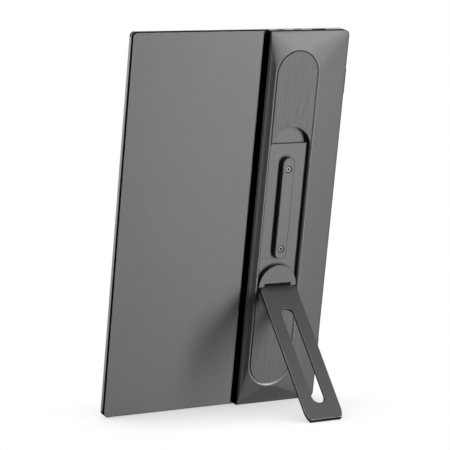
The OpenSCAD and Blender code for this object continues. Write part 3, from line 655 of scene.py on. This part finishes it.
def hinge_reach(a):
    """The same at the slot's upper centre: the sides, the round shoulders, and the tongue between them."""
    c, s = np.abs(np.cos(a)) + LEVEL, np.abs(np.sin(a)) + LEVEL
    height = SLOT_TOP - SHOULDER
    body = np.minimum(LEG_HALF / c, height / s)
    cx, cy = LEG_HALF - SHOULDER_R, height - SHOULDER_R
    along = cx * c + cy * s
    corner = along + np.sqrt(np.maximum(SHOULDER_R ** 2 - (cx ** 2 + cy ** 2 - along ** 2), 0))
    body = np.where((body * c > cx) & (body * s > cy), corner, body)
    tongue = np.minimum(TONGUE_HALF / c, (SLOT_TOP - TONGUE_END) / s)
    return np.where(height / s * c < TONGUE_HALF, np.maximum(tongue, height / s), body)


FACE_Y, FACE_FALL, FALL_FROM, ROLL_FROM = 1.34, 0.34, 8, 1.5
ROLL_R, ROLL_DOWN, ROLL_IN = 4, 1.918, 2.978
UNDER_Y, UNDER_RISE, RISE_OVER = -1.66, 0.5, 1.4


def leg_top(s):
    """Height of the leg's face at distance s from its pin: flat, then falling gently towards the hinge, then
    rolled over the pin in an arc of 4 mm."""
    span = FALL_FROM - ROLL_FROM
    fall = FACE_Y - FACE_FALL * (np.clip(FALL_FROM - s, 0, span) / span) ** 2
    roll = np.sqrt(np.maximum(ROLL_R ** 2 - (s - ROLL_DOWN) ** 2, 0)) - ROLL_IN
    return np.where(s < ROLL_FROM, roll, fall)


def leg_under(s):
    """Height of its underside: flat, rising behind the pin."""
    return UNDER_Y + UNDER_RISE * np.clip(-s / RISE_OVER, 0, 1) ** 2


# Round the bar the directions go from the slot's lower centre over the foot, up the left side, from its upper
# centre over the hinge end, and down the right side. The outline's own corners are among them, in degrees.
FOOT_CORNERS, HINGE_CORNERS, SIDE_STEPS = [54.99, 125.01, 35.0, 145.0], [244.75, 247.85, 292.15, 295.25], 25
a_foot = np.radians(np.unique(np.concatenate([np.linspace(0, 180, 73), FOOT_CORNERS])))
a_hinge = np.radians(np.unique(np.concatenate([np.linspace(180, 360, 91), HINGE_CORNERS])))
side = np.linspace(SLOT_TOP, SLOT_FOOT, SIDE_STEPS)[1:-1]
way = np.concatenate([arc(0, 0, 1, a_foot), np.tile([-1.0, 0.0], (len(side), 1)),
                      arc(0, 0, 1, a_hinge), np.tile([1.0, 0.0], (len(side), 1))])
start = np.concatenate([np.tile([0, SLOT_FOOT], (len(a_foot), 1)), np.stack([0 * side, side[::-1]], -1),
                        np.tile([0, SLOT_TOP], (len(a_hinge), 1)), np.stack([0 * side, side], -1)])
reach = np.concatenate([foot_reach(a_foot), np.full(len(side), LEG_HALF), hinge_reach(a_hinge),
                        np.full(len(side), LEG_HALF)])

# The bar's section goes down the slot's wall, across the underside, up the outer wall, and back over the
# face, with round edges. Each point of it lies off the slot's wall, off the outer wall, or at a share of the
# span between them, at a depth under the face or over the underside that stays short of half the thickness.
EDGE, RIM, THINNEST = 0.55, 0.4, 0.48
bend = np.radians(np.linspace(0, 90, 5))
falling = [(EDGE * (1 - math.sin(b)), EDGE * (1 - math.cos(b))) for b in bend]
rising = [(EDGE * (1 - math.cos(b)), EDGE * (1 - math.sin(b))) for b in bend]
section = [("slot", off, "top", depth) for off, depth in falling]
section += [("slot", off, "under", depth) for off, depth in rising]
section += [("slot", EDGE + RIM, "under", 0)] + [("span", share, "under", 0) for share in (0.3, 0.5, 0.7)]
section += [("outer", EDGE + RIM, "under", 0)]
section += [("outer", off, "under", depth) for off, depth in falling]
section += [("outer", off, "top", depth) for off, depth in rising]
section += [("outer", EDGE + RIM, "top", 0)] + [("span", share, "top", 0) for share in (0.8, 0.6, 0.4, 0.2)]
section += [("slot", EDGE + RIM, "top", 0)]
rings = []
for where, off, face, depth in section:
    out = {"slot": np.full(len(reach), SLOT_HALF + off), "outer": reach - off,
           "span": SLOT_HALF + (reach - SLOT_HALF) * off}[where]
    flat = start + way * out.reshape(-1, 1)
    thick = leg_top(flat[:, 1]) - leg_under(flat[:, 1])
    depth = np.minimum(depth, depth / EDGE * thick * THINNEST)
    height = leg_top(flat[:, 1]) - depth if face == "top" else leg_under(flat[:, 1]) + depth
    rings.append(at_height(flat, height))
bar = np.stack(rings)
c, s = math.cos(LEG_ANGLE), math.sin(LEG_ANGLE)
points = stood(STAND_X + bar[..., 0], HINGE_Y + bar[..., 1] * c + bar[..., 2] * s,
               HINGE_Z + bar[..., 1] * s - bar[..., 2] * c)
leg_metal = blasted_metal("leg_anodised", (0.168, 0.168, 0.170, 1))
leg = surface("leg", "leg", leg_metal, points,
              sheet_faces(len(rings), len(way), closed_rows=True, closed_cols=True), smooth_angle=32)
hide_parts("kick_leg")

# The tumbled edges are worn bright, and painted lighter as a highlight: the faces that look neither along the
# bar's thickness nor across it.
ACROSS, ALONG = 0.2, 0.975
leg.data.materials.append(bright_metal("worn_edge_and_highlight", (0.42, 0.42, 0.42), 0.42))
facing = np.empty(3 * len(leg.data.polygons))
leg.data.polygons.foreach_get("normal", facing)
through = stood(0, c, s) - stood(0, 0, 0)
tilt = np.abs(facing.reshape(-1, 3) @ through) / MM
leg.data.polygons.foreach_set("material_index", ((tilt > ACROSS) & (tilt < ALONG)).astype(np.int32))

# A pad of the side feet's rubber is glued to its end.
softened("leg_foot", "leg_foot_pad", "leg", rubber_black, 0.25)

# ---- The cover ----
# A stiff board covered in black coated cloth closes over the screen on a piano hinge at the long edge.
# It is lined with grey microfibre and has a light metal rail with three magnets on its free edge.

# Weave: warp and weft threads cross, with fluff on them and places rubbed paler, as a colour, a roughness and
# a height.
cloth_weave, given, gives = new_group("cloth_weave", ("Colour", "Roughness", "Height"), Place=None,
                                      Colour=(0.03, 0.03, 0.03, 1), Threads=500.0, Dull=0.8)
warp, weft = (add_node(cloth_weave, "TexWave", {"bands_direction": across}, Vector=given["Place"],
                       Scale=given["Threads"], Distortion=0.6, Detail=2.0, Detail_Scale=1.5).outputs["Fac"]
              for across in "XZ")
fluff = noise(cloth_weave, given["Place"], 1400.0, 3.0)
worn = noise(cloth_weave, given["Place"], 22.0, 4.0)
height = worked(cloth_weave, "MULTIPLY_ADD", fluff, 0.4, worked(cloth_weave, "MAXIMUM", warp, weft))
level = worked(cloth_weave, "MULTIPLY", ramp(cloth_weave, height, 0.3, 1.3, 0.7, 1.15),
               ramp(cloth_weave, worn, 0.35, 0.7, 0.96, 1.06))
fill(cloth_weave, gives, Colour=times(cloth_weave, given["Colour"], level),
     Roughness=worked(cloth_weave, "MULTIPLY_ADD", worn, -0.06, given["Dull"]), Height=height)


def wave_scale(pitch):
    """The Scale of a Wave Texture with bands pitch metres apart: a 20th of a full turn over the pitch."""
    return math.pi / (10 * pitch)


def woven_cloth(name, colour, thread, dull, bump):
    """Cloth in colour, with threads of the given width in metres."""
    finish, tree, place = new_finish(name)
    cloth = use_group(tree, cloth_weave, Place=place, Colour=colour, Threads=wave_scale(thread), Dull=dull)
    coat(tree, cloth["Height"], bump, depth=0.0001, Base_Color=cloth["Colour"], Roughness=cloth["Roughness"],
         Specular_IOR_Level=0.3)
    return finish


cover_skin = woven_cloth("cover_cloth", (0.030, 0.030, 0.032, 1), 0.0006, dull=0.7, bump=0.35)
softened("cover_board", "cover_panel", "cover", cover_skin, 0.35)
lining = woven_cloth("lining_cloth", (0.10, 0.10, 0.11, 1), 0.0003, dull=0.98, bump=0.25)
softened("cover_inner_cloth", "cover_lining", "cover", lining, 0.15)
rail_metal = blasted_metal("rail_anodised", (0.31, 0.31, 0.313, 1), dull=0.7)
softened("cover_rail", "cover_edge_rail", "cover", rail_metal, 0.2)
hinge_metal = blasted_metal("hinge_metal", (0.12, 0.12, 0.123, 1))
softened("hinge_leaf", "cover_hinge_leaf", "cover", hinge_metal, 0.1, steps=1)
softened("hinge_knuckles", "cover_hinge_knuckles", "monitor", hinge_metal, 0.1, steps=1)
finished("cover_hinge_pin", bright_metal("drawn_pin", (0.55, 0.55, 0.56), 0.3))
nickel = bright_metal("nickel_plate", (0.62, 0.60, 0.56), 0.25)
finished("cover_magnets", nickel)
finished("frame_magnets", nickel)

# ---- The screen and what lights it ----
# A sheet of glass, the liquid crystal cell, and behind it the sheets that spread the light of a row of lamps.
# They lie one behind the other in the black frame, held by the bezel.

# Clear sheet: finger marks dull it and printed dots stand up from it, as a roughness and a height.
sheet_marks, given, gives = new_group("sheet_marks", ("Roughness", "Height"), Place=None, Rough=0.03,
                                      Dots=900.0)
smears = ramp(sheet_marks, noise(sheet_marks, given["Place"], 30.0, 5.0, 0.7), 0.45, 0.75, high=0.09)
dots = add_node(sheet_marks, "TexVoronoi", Vector=given["Place"], Scale=given["Dots"])
fill(sheet_marks, gives, Roughness=worked(sheet_marks, "ADD", smears, given["Rough"]),
     Height=dots.outputs["Distance"])


def clear_sheet(name, colour, rough, dots):
    """Clear glass or acrylic in colour with finger marks; dots is how many print dots go to a metre."""
    finish, tree, place = new_finish(name)
    marks = use_group(tree, sheet_marks, Place=place, Rough=rough, Dots=dots)
    coat(tree, marks["Height"], 0.02, depth=0.0001, Base_Color=colour, Roughness=marks["Roughness"], IOR=1.5,
         Transmission_Weight=1.0)
    return finish


# Fine ruling: columns and rows of cells with darker gaps, under a haze that dulls them here and there, as a
# colour and a roughness.
fine_ruling, given, gives = new_group("fine_ruling", ("Colour", "Roughness"), Place=None,
                                      Colour=(0.5, 0.5, 0.5, 1), Columns=500.0, Rows=500.0, Gap=0.8,
                                      Rough=0.3)
columns = add_node(fine_ruling, "TexWave", {"bands_direction": "X"}, Vector=given["Place"],
                   Scale=given["Columns"]).outputs["Fac"]
lines = add_node(fine_ruling, "TexWave", {"bands_direction": "Z"}, Vector=given["Place"],
                 Scale=given["Rows"]).outputs["Fac"]
cells = ramp(fine_ruling, worked(fine_ruling, "MULTIPLY", columns, lines), 0.0, 1.0, low=given["Gap"])
haze = ramp(fine_ruling, noise(fine_ruling, given["Place"], 9.0, 3.0), 0.3, 0.7, -0.05, 0.05)
fill(fine_ruling, gives, Colour=times(fine_ruling, given["Colour"], cells),
     Roughness=worked(fine_ruling, "ADD", haze, given["Rough"]))


def ruled_film(name, colour, across, up, deep, rough):
    """A film or cell ruled with fine columns and rows: across and up are their pitches in metres, and deep is
    how much darker the gaps are."""
    finish, tree, place = new_finish(name)
    film = use_group(tree, fine_ruling, Place=place, Colour=(*colour, 1), Columns=wave_scale(across),
                     Rows=wave_scale(up), Gap=1 - deep, Rough=rough)
    coat(tree, Base_Color=film["Colour"], Roughness=film["Roughness"])
    return finish


finished("screen_glass", clear_sheet("screen_glass", (0.96, 0.97, 0.98, 1), 0.02, dots=4000.0))
crystal_cell = ruled_film("crystal_cell", (0.012, 0.012, 0.015), 0.00018, 0.00018, deep=0.5, rough=0.22)
finished("lcd_panel", crystal_cell)
diffuser_film = ruled_film("diffuser_film", (0.86, 0.86, 0.84), 0.0001, 0.0001, deep=0.1, rough=0.55)
finished("diffuser_sheet", diffuser_film)
finished("light_guide", clear_sheet("guide_acrylic", (0.9, 0.96, 0.95, 1), 0.05, dots=900.0))
reflector_film = ruled_film("reflector_film", (0.9, 0.9, 0.9), 0.0004, 0.0002, deep=0.06, rough=0.3)
finished("reflector_sheet", reflector_film)
finished("led_bar", ruled_film("lamp_row", (0.82, 0.74, 0.30), 0.0035, 0.0035, deep=0.35, rough=0.4))

# ---- The keys ----
# A power key and a menu key stand out of the slab's lower end, each a small cap of moulded plastic with a
# satin top. Behind them a narrow board carries two switches in steel cans.

key_plastic = moulded_plastic("key_plastic", (0.06, 0.06, 0.063, 1), dull=0.38, pebble=3000.0)
softened("power_key", "power_button", "power_button_body", key_plastic, 0.15)
softened("menu_key_cap", "menu_key", "menu_key_body", key_plastic, 0.15)
finished("key_switches", bright_metal("tinned_steel", (0.55, 0.55, 0.54), 0.32))

# ---- Boards, chips and ribbons ----
# The circuit boards are glass cloth in green lacquer with copper tracks and plated holes.
# The chips are black moulded resin, and the ribbons are amber film laid over copper lines.

# Copper tracks show paler through the lacquer in short straight runs, with bare plated holes between them.
LACQUER, TRACK, PLATING = (0.012, 0.10, 0.045, 1), (0.05, 0.22, 0.08, 1), (0.62, 0.47, 0.22, 1)
green_board, tree, place = new_finish("green_board")
flat = add_node(tree, "Mapping", Vector=place, Rotation=(math.radians(90), 0, 0)).outputs[0]
runs = add_node(tree, "TexBrick", {"offset": 0.37, "squash": 0.6}, Vector=flat, Color1=TRACK, Color2=TRACK,
                Mortar=LACQUER, Scale=260.0, Mortar_Size=0.035, Bias=0.1, Brick_Width=1.7, Row_Height=0.22)
holes = add_node(tree, "TexVoronoi", Vector=flat, Scale=240.0, Randomness=0.9).outputs["Distance"]
plated = worked(tree, "LESS_THAN", holes, 0.11)
green = add_node(tree, "Mix", {"data_type": "RGBA"}, _0=0.3, _6=LACQUER, _7=runs.outputs["Color"])
drilled = add_node(tree, "Mix", {"data_type": "RGBA"}, _0=plated, _6=green.outputs[2], _7=PLATING)
coat(tree, Base_Color=drilled.outputs[2], Roughness=ramp(tree, holes, 0.0, 1.0, 0.25, 0.4), Metallic=plated)
for node in ("main_board", "port_board", "key_board"):
    finished(node, green_board)
finished("board_chips", moulded_plastic("chip_resin", (0.02, 0.02, 0.021, 1), dull=0.55, pebble=5000.0))
amber = ruled_film("ribbon_film", (0.50, 0.27, 0.06), 0.0008, 0.02, deep=0.45, rough=0.3)
finished("display_ribbon", amber)
finished("port_ribbon", amber)

# ---- Metal parts in the housing ----
# A copper spreader lies on the main board's chips, and the board stands on brass posts with steel screws.
# A zinc-plated base plate under the pan takes the pad's screws, and a brass nut holds the turntable's rivet.

finished("heat_spreader", brushed_metal("copper_spreader", (0.62, 0.36, 0.22, 1), streak=0.25, smudge=0.2))
finished("board_posts", bright_metal("turned_brass", (0.66, 0.50, 0.22), 0.25))
finished("rivet_nut", bright_metal("nut_brass", (0.60, 0.46, 0.22), 0.3))
finished("board_screws", bright_metal("zinc_screws", (0.42, 0.43, 0.46), 0.28))
finished("stand_base_plate", brushed_metal("zinc_plate", (0.40, 0.41, 0.43, 1), streak=0.15, smudge=0.35))

# ---- Sockets and speakers ----
# The sockets are folded steel shells, soldered to the board behind the end plate.
# The speakers are sealed boxes of black plastic, each with a round mouth.

# painted shade darkens the shells' hollows
finished("usb_c_sockets", bright_metal("socket_steel", (0.20, 0.20, 0.205), 0.4, corner=0.004))
finished("video_socket", black_steel_and_gap_shade)
speaker_plastic = moulded_plastic("speaker_box", (0.025, 0.025, 0.027, 1), dull=0.55, pebble=1200.0, bump=0.2)
finished("speakers", speaker_plastic)
